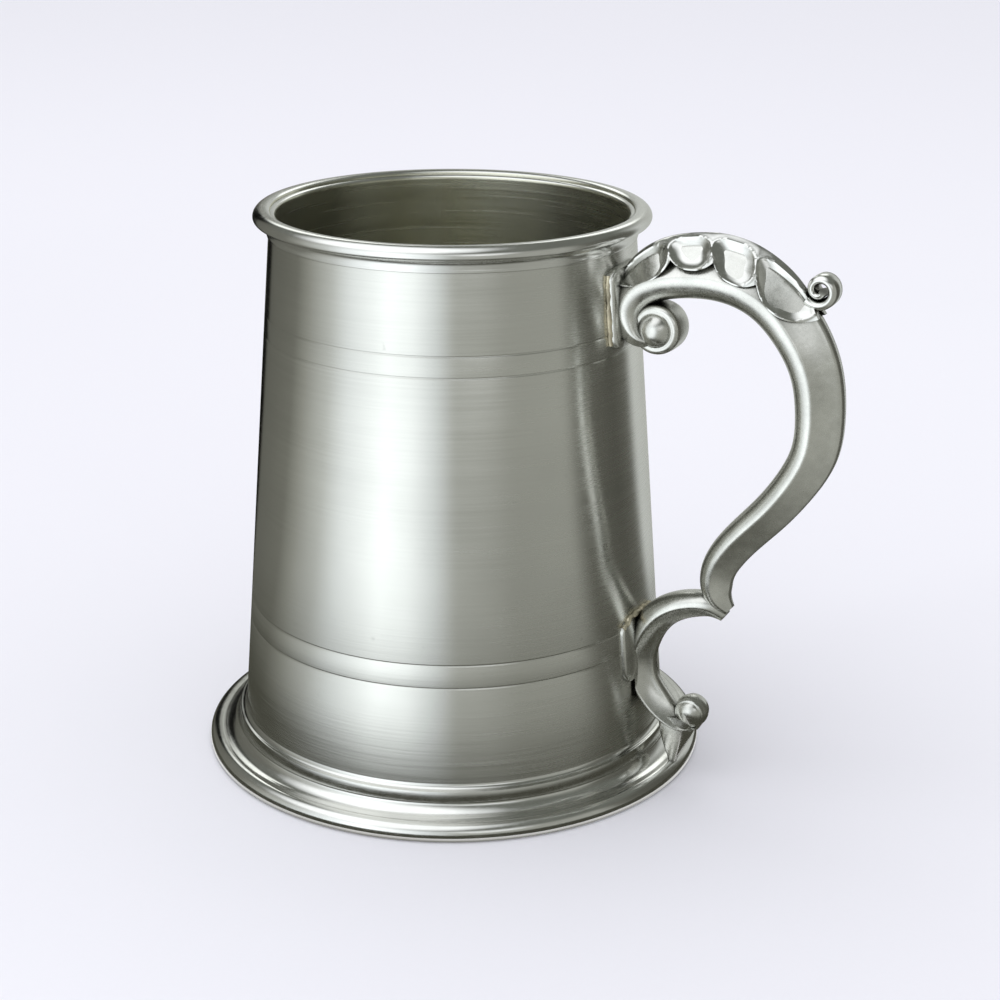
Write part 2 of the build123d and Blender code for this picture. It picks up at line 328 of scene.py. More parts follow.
def seam_tree():
    """A rough bead of solder along a line."""
    tree, given = new_tree(
        "Solder seam",
        (
            ("Bead Radius", "NodeSocketFloat", 0.0008),
            ("Roughness", "NodeSocketFloat", 0.0005),
            ("Seed", "NodeSocketFloat", 3.0),
            ("Spacing", "NodeSocketFloat", 0.00035),
            ("Material", "NodeSocketMaterial", None),
        ),
    )
    line = add_node(tree, "GeometryNodeMeshToCurve", {"Mesh": given["Geometry"]}).outputs[0]
    even = add_node(
        tree, "GeometryNodeResampleCurve", {"Curve": line, "Length": given["Spacing"]}, mode="LENGTH"
    ).outputs[0]
    ring = add_node(
        tree, "GeometryNodeCurvePrimitiveCircle", {"Resolution": 12, "Radius": given["Bead Radius"]}
    ).outputs[0]
    tube = add_node(
        tree, "GeometryNodeCurveToMesh", {"Curve": even, "Profile Curve": ring, "Fill Caps": True}
    ).outputs[0]
    place = add_node(tree, "GeometryNodeInputPosition").outputs[0]
    lumps = add_node(
        tree,
        "ShaderNodeTexNoise",
        {"Vector": place, "W": given["Seed"], "Scale": 620.0, "Detail": 2.0},
        noise_dimensions="4D",
    ).outputs[0]
    swing = calc(tree, "MULTIPLY", given["Roughness"], 4)
    lift = calc(tree, "MULTIPLY", calc(tree, "SUBTRACT", lumps, 0.5), swing)
    normal = add_node(tree, "GeometryNodeInputNormal").outputs[0]
    push = calc_vector(tree, "SCALE", normal)
    tree.links.new(lift, push.inputs["Scale"])
    shape = add_node(
        tree, "GeometryNodeSetPosition", {"Geometry": tube, "Offset": push.outputs[0]}
    ).outputs[0]
    close_tree(tree, shape, given["Material"], 3.0)
    return tree


# ------------------------------------------------------------------ mesh helpers
def link(name, shape):
    """A new object at the origin that shows the mesh, light or camera."""
    made = bpy.data.objects.new(name, shape)
    bpy.context.scene.collection.objects.link(made)
    return made


def turn_outwards(mesh):
    """Welds doubles and turns every face outwards."""
    shell = bmesh.new()
    shell.from_mesh(mesh)
    bmesh.ops.remove_doubles(shell, verts=shell.verts, dist=1e-6)
    bmesh.ops.recalc_face_normals(shell, faces=shell.faces)
    shell.to_mesh(mesh)
    shell.free()
    mesh.update()


def grown(name, source, tree, place=None, **values):
    """Runs a tree on a source mesh and gives a plain piece."""
    holder = link(name + "_line", source)
    modifier = holder.modifiers.new("Shape", "NODES")
    modifier.node_group = tree
    for item in tree.interface.items_tree:
        if item.item_type == "SOCKET" and item.in_out == "INPUT" and item.name in values:
            modifier[item.identifier] = values[item.name]
    bpy.context.view_layer.update()
    graph = bpy.context.evaluated_depsgraph_get()
    mesh = bpy.data.meshes.new_from_object(holder.evaluated_get(graph))
    holder.modifiers.remove(modifier)
    bpy.data.objects.remove(holder)
    if place is not None:
        mesh.transform(place)
    for face in mesh.polygons:
        face.material_index = 0
    while len(mesh.materials) > 1:
        mesh.materials.pop(index=0)
    turn_outwards(mesh)
    return link(name, mesh)


def lofted(name, rings, material, crease=40):
    """A closed skin over rings of points, with its two ends filled."""
    rings = [np.asarray(ring, float) for ring in rings]
    count = len(rings[0])
    points = [tuple(p) for ring in rings for p in ring]
    faces = []
    for a in range(len(rings) - 1):
        for b in range(count):
            nxt = (b + 1) % count
            faces.append((a * count + b, a * count + nxt, (a + 1) * count + nxt, (a + 1) * count + b))
    last = len(points) - count
    for start in (0, last):
        centre = len(points)
        points.append(tuple(np.mean(points[start : start + count], axis=0)))
        faces += [(start + b, start + (b + 1) % count, centre) for b in range(count)]
    mesh = bpy.data.meshes.new(name)
    mesh.from_pydata(points, [], faces)
    turn_outwards(mesh)
    mesh.materials.append(material)
    piece = link(name, mesh)
    for face in mesh.polygons:
        face.use_smooth = True
    mesh.set_sharp_from_angle(angle=math.radians(crease))
    return piece


def line_mesh(name, points, **vectors):
    """A row of points joined by edges, with vector attributes on the points."""
    mesh = bpy.data.meshes.new(name)
    mesh.from_pydata([tuple(p) for p in points], [(i, i + 1) for i in range(len(points) - 1)], [])
    for key, values in vectors.items():
        stored = mesh.attributes.new(key, "FLOAT_VECTOR", "POINT")
        stored.data.foreach_set("vector", np.asarray(values, np.float32).ravel())
    return mesh


def smooth_line(points, count):
    """A natural cubic line through the points, at even steps along it. Extra columns ride along."""
    points = np.asarray(points, float)
    steps = np.linalg.norm(np.diff(points[:, :2], axis=0), axis=1)
    at = np.concatenate(([0], np.cumsum(steps)))
    size = len(points)
    system = np.eye(size)
    right = np.zeros_like(points)
    for i in range(1, size - 1):
        system[i, i - 1] = steps[i - 1]
        system[i, i] = 2 * (steps[i - 1] + steps[i])
        system[i, i + 1] = steps[i]
        right[i] = 6 * ((points[i + 1] - points[i]) / steps[i] - (points[i] - points[i - 1]) / steps[i - 1])
    bend = np.linalg.solve(system, right)

    def value(t):
        i = np.clip(np.searchsorted(at, t, side="right") - 1, 0, size - 2)
        h = steps[i][:, None]
        a = (at[i + 1] - t)[:, None]
        b = (t - at[i])[:, None]
        return (
            (bend[i] * a**3 + bend[i + 1] * b**3) / (6 * h)
            + (points[i] / h - bend[i] * h / 6) * a
            + (points[i + 1] / h - bend[i + 1] * h / 6) * b
        )

    fine = value(np.linspace(0, at[-1], 40 * size))
    run = np.concatenate(([0], np.cumsum(np.linalg.norm(np.diff(fine[:, :2], axis=0), axis=1))))
    wanted = np.linspace(0, run[-1], count)
    return np.stack([np.interp(wanted, run, fine[:, k]) for k in range(points.shape[1])], axis=1)


def arc(start, middle, end, count=12):
    """Points on the circle through three points, from start to end."""
    (ax, ay), (bx, by), (cx, cy) = start, middle, end
    d = 2 * (ax * (by - cy) + bx * (cy - ay) + cx * (ay - by))
    a2, b2, c2 = ax * ax + ay * ay, bx * bx + by * by, cx * cx + cy * cy
    ux = (a2 * (by - cy) + b2 * (cy - ay) + c2 * (ay - by)) / d
    uy = (a2 * (cx - bx) + b2 * (ax - cx) + c2 * (bx - ax)) / d
    radius = math.hypot(ax - ux, ay - uy)
    first, mid, last = (math.atan2(y - uy, x - ux) for x, y in (start, middle, end))
    sweep = (last - first) % math.tau
    if (mid - first) % math.tau > sweep:
        sweep -= math.tau
    turns = first + sweep * np.linspace(0, 1, count)
    return [(ux + radius * math.cos(t), uy + radius * math.sin(t)) for t in turns]


def profile(name, points):
    """A profile of radius and height in millimetres, as a row of points."""
    return line_mesh(name, [(r * MM, 0, z * MM) for r, z in points])


def finish_piece(piece, slot, *nodes):
    """The piece stands for its solids and rides on the body. The slot is not used."""
    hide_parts(*nodes)
    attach(piece, "root")
    return piece


# ------------------------------------------------------------------ metals
def metal(name, tone, dark, roughness, build):
    """A metal whose tone, roughness and surface come from the build function."""
    made = bpy.data.materials.new(name)
    made.use_nodes = True
    tree = made.node_tree
    tree.nodes.clear()
    out = tree.nodes.new("ShaderNodeOutputMaterial")
    shader = add_node(tree, "ShaderNodeBsdfPrincipled", {"Metallic": 1.0})
    tree.links.new(shader.outputs[0], out.inputs["Surface"])
    place = tree.nodes.new("ShaderNodeTexCoord").outputs["Object"]
    build(tree, shader, place, tone, dark, roughness)
    return made


def noise(tree, place, scale, detail=3.0, stretch=(1, 1, 1), turned=(0, 0, 0), rough=0.5):
    """Noise on stretched coordinates."""
    mapped = add_node(
        tree, "ShaderNodeMapping", {"Vector": place, "Scale": stretch, "Rotation": turned}
    ).outputs[0]
    return add_node(
        tree, "ShaderNodeTexNoise", {"Vector": mapped, "Scale": scale, "Detail": detail, "Roughness": rough}
    ).outputs[0]


def ranged(tree, value, low, high, to_low, to_high):
    """Value moved from one range to another."""
    return add_node(
        tree,
        "ShaderNodeMapRange",
        {"Value": value, "From Min": low, "From Max": high, "To Min": to_low, "To Max": to_high},
    ).outputs[0]


def tinted(tree, share_socket, first, second):
    """A colour between two colours."""
    mixed = add_node(tree, "ShaderNodeMix", data_type="RGBA")
    for index, value in ((0, share_socket), (6, first), (7, second)):
        if isinstance(value, bpy.types.NodeSocket):
            tree.links.new(value, mixed.inputs[index])
        else:
            mixed.inputs[index].default_value = value if index == 0 else (*value, 1)
    return mixed.outputs[2]


def occlusion_shade(tree, distance):
    """Open share of the surroundings near the surface, low in hollows; the metals darken their colour by it,
    which paints shade into the hollows.
    """
    return add_node(
        tree, "ShaderNodeAmbientOcclusion", {"Distance": distance}, samples=8, only_local=False
    ).outputs["AO"]


def brushed(tree, shader, place, tone, dark, roughness):
    """Wall metal with fine turned lines, a few long slanting scratches and a faint cloudy film."""
    lines = noise(tree, place, 1.0, 5.0, stretch=(22, 22, 1900), rough=0.62)
    coarse = noise(tree, place, 1.0, 3.0, stretch=(14, 14, 420))
    slant = noise(tree, place, 1.0, 4.0, stretch=(60, 60, 1500), turned=(0.32, 0.42, 0.0), rough=0.6)
    cloud = noise(tree, place, 26.0, 3.0)
    spots = noise(tree, place, 420.0, 2.0)
    # the scratches lie on the side of the handle
    side = ranged(tree, split(tree, place)[0], 0.012, 0.045, 0.0, 1.0)
    grain = calc(tree, "ADD", calc(tree, "MULTIPLY", lines, 0.65), calc(tree, "MULTIPLY", coarse, 0.35))
    scratched = calc(
        tree, "ADD", grain, calc(tree, "MULTIPLY", calc(tree, "MULTIPLY", slant, side), 0.5)
    )
    film = calc(tree, "ADD", calc(tree, "MULTIPLY", cloud, 0.6), calc(tree, "MULTIPLY", scratched, 0.4))
    pits = ranged(tree, spots, 0.72, 0.80, 0.0, 0.25)
    body = tinted(tree, ranged(tree, film, 0.35, 0.65, 0.0, 1.0), tuple(c * 0.82 for c in tone), tone)
    spotted = tinted(tree, pits, body, tuple(c * 0.55 for c in tone))
    # painted shade: ambient occlusion darkens the wall's colour where the surface is enclosed
    hollow = ranged(tree, occlusion_shade(tree, 0.0012), 0.2, 0.8, 0.7, 0.0)
    tree.links.new(tinted(tree, hollow, spotted, dark), shader.inputs["Base Color"])
    tree.links.new(
        ranged(tree, scratched, 0.3, 0.75, roughness - 0.05, roughness + 0.08), shader.inputs["Roughness"]
    )
    bump = add_node(tree, "ShaderNodeBump", {"Strength": 0.10, "Distance": 0.0002, "Height": scratched})
    tree.links.new(bump.outputs[0], shader.inputs["Normal"])
    tangent = add_node(tree, "ShaderNodeTangent", direction_type="RADIAL", axis="Z").outputs[0]
    tree.links.new(tangent, shader.inputs["Tangent"])
    shader.inputs["Anisotropic"].default_value = 0.92
    shader.inputs["Anisotropic Rotation"].default_value = 0.25


def buffed(tree, shader, place, tone, dark, roughness):
    """Bright metal with soft waves from polishing, hair scratches and painted shade darkening its hollows."""
    wave = noise(tree, place, 70.0, 2.0)
    hair = noise(tree, place, 1.0, 4.0, stretch=(90, 90, 1400), turned=(0.1, 0.06, 0), rough=0.6)
    fine = noise(tree, place, 900.0, 3.0)
    film = calc(tree, "ADD", calc(tree, "MULTIPLY", wave, 0.5), calc(tree, "MULTIPLY", hair, 0.5))
    body = tinted(tree, ranged(tree, film, 0.35, 0.65, 0.0, 1.0), tuple(c * 0.86 for c in tone), tone)
    # painted shade: ambient occlusion darkens the colour fully in the hollows
    hollow = ranged(tree, occlusion_shade(tree, 0.002), 0.25, 0.8, 1.0, 0.0)
    tree.links.new(tinted(tree, hollow, body, dark), shader.inputs["Base Color"])
    worn = calc(tree, "ADD", calc(tree, "MULTIPLY", hair, 0.6), calc(tree, "MULTIPLY", fine, 0.4))
    tree.links.new(
        ranged(tree, worn, 0.35, 0.7, roughness - 0.04, roughness + 0.09), shader.inputs["Roughness"]
    )
    height = calc(tree, "ADD", calc(tree, "MULTIPLY", wave, 1.0), calc(tree, "MULTIPLY", hair, 0.12))
    bump = add_node(tree, "ShaderNodeBump", {"Strength": 0.12, "Distance": 0.0006, "Height": height})
    tree.links.new(bump.outputs[0], shader.inputs["Normal"])


def sand_cast(tree, shader, place, tone, dark, roughness):
    """Cast metal, filed and rubbed, with a fine grain and painted shade darkening its hollows."""
    grain = noise(tree, place, 1500.0, 4.0, rough=0.65)
    filed = noise(tree, place, 1.0, 4.0, stretch=(500, 70, 500), turned=(0, 0.5, 0), rough=0.6)
    cloud = noise(tree, place, 110.0, 3.0)
    film = calc(tree, "ADD", calc(tree, "MULTIPLY", cloud, 0.6), calc(tree, "MULTIPLY", filed, 0.4))
    body = tinted(tree, ranged(tree, film, 0.35, 0.65, 0.0, 1.0), tuple(c * 0.78 for c in tone), tone)
    # painted shade: ambient occlusion darkens the colour in the scrolls' hollows
    hollow = ranged(tree, occlusion_shade(tree, 0.003), 0.2, 0.8, 0.9, 0.0)
    tree.links.new(tinted(tree, hollow, body, dark), shader.inputs["Base Color"])
    worn = calc(tree, "ADD", calc(tree, "MULTIPLY", grain, 0.5), calc(tree, "MULTIPLY", filed, 0.5))
    tree.links.new(
        ranged(tree, worn, 0.35, 0.7, roughness - 0.07, roughness + 0.10), shader.inputs["Roughness"]
    )
    height = calc(tree, "ADD", calc(tree, "MULTIPLY", cloud, 0.8), calc(tree, "MULTIPLY", worn, 0.2))
    bump = add_node(tree, "ShaderNodeBump", {"Strength": 0.20, "Distance": 0.0005, "Height": height})
    tree.links.new(bump.outputs[0], shader.inputs["Normal"])


def soldered(tree, shader, place, tone, dark, roughness):
    """Dull joint metal with lumps, a rough skin and a warm stain."""
    lump = noise(tree, place, 700.0, 4.0)
    stain = noise(tree, place, 240.0, 3.0)
    body = tinted(tree, ranged(tree, stain, 0.3, 0.6, 0.0, 1.0), tuple(c * 0.55 for c in tone), tone)
    tree.links.new(body, shader.inputs["Base Color"])
    tree.links.new(
        ranged(tree, lump, 0.3, 0.7, roughness - 0.08, roughness + 0.15), shader.inputs["Roughness"]
    )
    bump = add_node(tree, "ShaderNodeBump", {"Strength": 0.6, "Distance": 0.0005, "Height": lump})
    tree.links.new(bump.outputs[0], shader.inputs["Normal"])


def metals():
    """The metals, made once and found again by name."""
    finish = bpy.context.scene.tankard_finish
    # tone of the shade painted into the metals' hollows
    painted_hollow_shade = tuple(finish.painted_hollow_shade)
    recipes = {
        "wall_metal": (tuple(finish.satin), finish.satin_roughness, brushed),
        "inside_metal": (tuple(finish.inside), finish.inside_roughness, brushed),
        "bright_metal": (tuple(finish.polished), finish.polished_roughness, buffed),
        "cast_metal": (tuple(finish.cast), finish.cast_roughness, sand_cast),
        "solder_metal": (tuple(finish.solder), 0.45, soldered),
    }
    return {
        name: bpy.data.materials.get(name) or metal(name, tone, painted_hollow_shade, rough, build)
        for name, (tone, rough, build) in recipes.items()
    }


def tree_named(name, make):
    """A geometry tree, made once and found again by name."""
    return bpy.data.node_groups.get(name) or make()


# ------------------------------------------------------------------ cup
def wall_radius(cup, z):
    """Outer radius of the wall in millimetres at height z in millimetres."""
    return cup.base_radius / MM - cup.slope * z


class TANKARD_OT_drum(bpy.types.Operator):
    """Builds the tapering wall, the floor inside it and the solder ring between them"""

    bl_idname = "tankard.drum"
    bl_label = "Drum and floor"

    def execute(self, context):
        cup = context.scene.tankard_cup
        finish = metals()
        tree = tree_named("Spun metal", spun_tree)
        bottom, top, wall = cup.drum_bottom / MM, cup.drum_top / MM, cup.wall / MM
        depth = cup.line_depth / MM
        outside = [(wall_radius(cup, bottom), bottom)]
        for height in LINE_HEIGHTS:
            for offset, sink in LINE_SECTION:
                z = height + offset
                outside.append((wall_radius(cup, z) - sink * depth, z))
        outside.append((wall_radius(cup, top), top))
        inside = [(wall_radius(cup, z) - wall, z) for z in (top, 80, 45, bottom)]
        piece = grown(
            "cup_wall",
            profile("cup_wall_profile", outside + inside + outside[:1]),
            tree,
            Segments=cup.segments,
            Crease=0.9,
            Material=finish["wall_metal"],
        )
        piece.data.materials.append(finish["inside_metal"])
        for face in piece.data.polygons:
            if face.normal.xy.dot(face.center.xy) < 0:
                face.material_index = 1
        finish_piece(piece, "satin_pewter", "body_drum")

        floor_top = bottom + FLOOR_THICKNESS
        edge = wall_radius(cup, floor_top) - wall
        rings = [(0, bottom), (wall_radius(cup, bottom) - wall, bottom), (edge, floor_top)]
        for radius in np.linspace(edge - 1.5, 1.5, 90):
            rings.append((radius, floor_top - 0.05 - 0.05 * math.cos(radius * 2.4)))
        rings.append((0, floor_top))
        piece = grown(
            "cup_floor",
            profile("cup_floor_profile", rings),
            tree,
            Segments=cup.segments,
            Crease=0.9,
            Material=finish["inside_metal"],
        )
        finish_piece(piece, "satin_pewter", "floor_disc")

        corner = (edge, floor_top)
        fillet = [corner, (wall_radius(cup, floor_top + 1) - wall, floor_top + 1)]
        fillet += arc((edge - 0.06, floor_top + 1), (edge - 0.36, floor_top + 0.36), (edge - 1, floor_top), 8)
        piece = grown(
            "floor_solder_ring",
            profile("solder_profile", fillet + [corner]),
            tree,
            Segments=cup.segments,
            Crease=0.9,
            Material=finish["solder_metal"],
        )
        finish_piece(piece, "solder", "floor_solder")
        return {"FINISHED"}


class TANKARD_OT_mouth(bpy.types.Operator):
    """Builds the rounded lip with the hollow below it"""

    bl_idname = "tankard.mouth"
    bl_label = "Mouth moulding"

    def execute(self, context):
        cup = context.scene.tankard_cup
        rim, lip, mouth = cup.rim_height / MM, cup.lip_radius / MM, cup.mouth_radius / MM
        wall = cup.wall / MM
        top = cup.drum_top / MM

        def inner(z):
            return wall_radius(cup, z) - wall

        low = MOULDING_BOTTOM
        step = wall_radius(cup, low) + 0.3
        root = (lip - 1.2, 117.7)
        points = [(wall_radius(cup, low) - 0.4, low), (step - 0.08, low), (step, low + 0.08)]
        points += [(step - 0.02, low + 0.5)]
        points += arc((step - 0.1, low + 0.75), (step + 0.15, 116.6), root, 14)
        points += arc((lip - 0.75, 117.62), (lip - 0.1, 118.2), (lip - 0.02, 118.9), 10)
        points += arc((lip - 0.12, rim - 0.75), (lip - 0.9, rim + 0.15), (lip - 1.95, rim + 0.48), 12)
        points += arc((lip - 2.2, rim + 0.49), (mouth + 0.6, rim + 0.36), (mouth + 0.12, rim + 0.05), 10)
        points += [(mouth - 0.02, rim - 0.2)]
        easing = [(mouth - 0.04, rim - 0.4), (inner(119.0) + 0.1, 119.1)]
        easing += [(inner(118.4), 118.4), (inner(top) - 0.02, top)]
        points += smooth_line(easing, 14).tolist()
        points += [(inner(top) - 0.01, top - 0.25), (wall_radius(cup, low) - 0.4, top - 0.25)]
        piece = grown(
            "mouth_lip",
            profile("mouth_profile", points + points[:1]),
            tree_named("Spun metal", spun_tree),
            Segments=cup.segments,
            Crease=0.9,
            Material=metals()["bright_metal"],
        )
        piece.data.materials.append(metals()["inside_metal"])
        for face in piece.data.polygons:
            # how straight the face looks at the axis, -1 where it looks right at it
            facing = face.normal.xy.dot(face.center.xy) / face.center.xy.length
            if facing < -0.8:
                face.material_index = 1
        finish_piece(piece, "polished_pewter", "mouth_moulding")
        return {"FINISHED"}


class TANKARD_OT_foot(bpy.types.Operator):
    """Builds the spread foot with its band, its rolled edge and the hollow underneath"""

    bl_idname = "tankard.foot"
    bl_label = "Foot"

    def execute(self, context):
        cup = context.scene.tankard_cup
        foot, band = cup.foot_radius / MM, cup.band_radius / MM
        bottom = cup.drum_bottom / MM
        wall_foot = wall_radius(cup, bottom)
        points = [(41.0, bottom), (wall_foot - 0.1, bottom)]
        points += arc((wall_foot, bottom - 0.02), (wall_foot + 0.3, 8.5), (band - 0.25, 8.12), 8)
        points += arc((band - 0.1, 8.05), (band + 0.12, 6.9), (band + 0.2, 5.7), 12)
        points += arc((band + 0.25, 5.4), (band + 1.4, 4.15), (band + 3.3, 3.5), 16)
        points += arc((band + 3.7, 3.4), (foot - 0.8, 3.0), (foot - 0.05, 1.7), 20)
        points += arc((foot - 0.02, 1.5), (foot - 0.05, 0.7), (foot - 0.35, 0.12), 8)
        points += [(foot - 0.5, 0.0), (foot - 2.8, 0.0)]
        points += arc((foot - 3.4, 1.0), (band, 2.5), (band - 1.4, 5.6), 14)
        points += [(band - 2.0, bottom - 1.4), (41.0, bottom - 1.4)]
        piece = grown(
            "foot_ring",
            profile("foot_profile", points[::-1] + points[-1:]),
            tree_named("Spun metal", spun_tree),
            Segments=cup.segments,
            Crease=0.75,
            Material=metals()["bright_metal"],
        )
        finish_piece(piece, "polished_pewter", "foot_skirt")
        return {"FINISHED"}


# ------------------------------------------------------------------ handle
def section_shares(count):
    """Shares of the sizes for each point round a scroll's section, starting at one widest edge."""
    half = count // 2
    width, depth = [], []
    for i in range(half):
        along = i / half
        fold = 1 - abs(2 * along - 1)
        fold = fold**1.15
        cap = math.sqrt(max(0.0, 1 - max(0.0, (fold - 0.86) / 0.14) ** 2))
        side = 1 if along <= 0.5 else -1
        width.append((side * (1 - fold), side * fold * cap, -side * 4 * fold * (1 - fold)))
        depth.append((fold - 0.06 * (1 - cap), 0, 0))
    for i in range(count - half):
        turn = math.pi * i / (count - half)
        width.append((-math.cos(turn), 0, 0))
        depth.append((0, -(math.sin(turn) ** 0.85), 0))
    return width, depth


def scroll(name, stations, count, material, seat=(0.0, 0.0), crease=1.2):
    """Sweeps the scroll section. Each station is x, z, half width, round side, ridged side, ridge and hollow.

    All are in millimetres. The ridged side lies to the left of the way the line runs.
    """
    stations = np.asarray(stations, float)
    along = np.gradient(stations[:, :2], axis=0)
    along /= np.linalg.norm(along, axis=1)[:, None]
    outward = np.stack([-along[:, 1], 0 * along[:, 0], along[:, 0]], axis=1)
    place = np.stack([stations[:, 0], 0 * stations[:, 0], stations[:, 1]], axis=1) * MM
    width = stations[:, [2, 5, 6]] * MM
    depth = np.stack([stations[:, 4], stations[:, 3], 0 * stations[:, 3]], axis=1) * MM
    # a station of no size closes each end
    place = np.concatenate((place[:1], place, place[-1:]))
    outward = np.concatenate((outward[:1], outward, outward[-1:]))
    width = np.concatenate((0 * width[:1], width, 0 * width[-1:]))
    depth = np.concatenate((0 * depth[:1], depth, 0 * depth[-1:]))
    share_width, share_depth = section_shares(count)
    blank = np.zeros((count, 3))
    source = line_mesh(
        name + "_path",
        np.concatenate((place, blank)),
        width=np.concatenate((width, share_width)),
        depth=np.concatenate((depth, share_depth)),
        outward=np.concatenate((outward, blank)),
    )
    return grown(
        name,
        source,
        tree_named("Cast scroll", scroll_tree),
        Stations=len(place),
        Crease=crease,
        Material=material,
        **{"Section Points": count, "Seat Radius": seat[0], "Seat Taper": seat[1]},
    )


def pad_on_wall(name, cup, outline, thickness, material):
    """A rounded plate that lies on the tapering wall."""
    half_width, low, high = outline
    middle = (low + high) / 2
    tall = (high - low) / 2

    def ring(inset, lift):
        points = []
        wide, high_half = half_width - inset, tall - inset
        rounding = max(min(PAD_CORNER, wide, high_half) - 0.4 * inset, 0.05)
        for quarter, (sy, sz) in enumerate(((1, 1), (-1, 1), (-1, -1), (1, -1))):
            for step in range(9):
                turn = math.pi / 2 * (quarter + step / 8)
                y = sy * (wide - rounding) + rounding * math.cos(turn)
                z = middle + sz * (high_half - rounding) + rounding * math.sin(turn)
                radius = wall_radius(cup, z) + lift
                points.append((math.sqrt(radius**2 - y**2) * MM, y * MM, z * MM))
        return points

    levels = ((0.0, -0.3), (0.0, 0.55 * thickness), (0.12, 0.85 * thickness), (0.4, thickness))
    rings = [ring(*level) for level in levels]
    rings += [ring(share_in * half_width, thickness) for share_in in (0.35, 0.6, 0.8, 0.93)]
    return lofted(name, rings, material, crease=50)


class TANKARD_OT_pads(bpy.types.Operator):
    """Builds the two mounting pads and the rough solder round them"""

    bl_idname = "tankard.pads"
    bl_label = "Mounting pads"

    def execute(self, context):
        cup = context.scene.tankard_cup
        handle = context.scene.tankard_handle
        finish = metals()
        pads = (
            ("upper_pad", "upper_mount_pad", UPPER_PAD, handle.upper_pad / MM),
            ("lower_pad", "lower_mount_pad", LOWER_PAD, handle.lower_pad / MM),
        )
        for name, cad_node, outline, thickness in pads:
            piece = pad_on_wall(name, cup, outline, thickness, finish["cast_metal"])
            finish_piece(piece, "cast_pewter", cad_node)
        near_edge = [(-6.9, 96.5), (-7.0, 101.0), (-6.9, 106.0), (-6.6, 110.8)]
        far_edge = [(-y, z) for y, z in near_edge]
        top_edge = [(-7.8, 35.4), (-4.5, 36.8), (0.0, 37.1), (4.5, 36.8), (7.8, 35.4)]
        seams = (
            # line of y and z, radius of the bead, its roughness, seed
            ("upper_solder_seam", near_edge, 0.55, 0.25, 3.0),
            ("upper_solder_seam_far", far_edge, 0.55, 0.25, 4.0),
            ("lower_solder_seam", top_edge, 0.6, 0.4, 5.0),
        )
        for name, points, radius, rough, seed in seams:
            line = []
            for y, z in smooth_line(points, 30):
                reach = wall_radius(cup, z) + 0.25
                line.append((math.sqrt(reach**2 - y**2) * MM, y * MM, z * MM))
            piece = grown(
                name,
                line_mesh(name + "_path", line),
                tree_named("Solder seam", seam_tree),
                Material=finish["solder_metal"],
                Seed=seed,
                **{"Bead Radius": radius * MM, "Roughness": rough * MM},
            )
            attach(piece, "root")
        return {"FINISHED"}


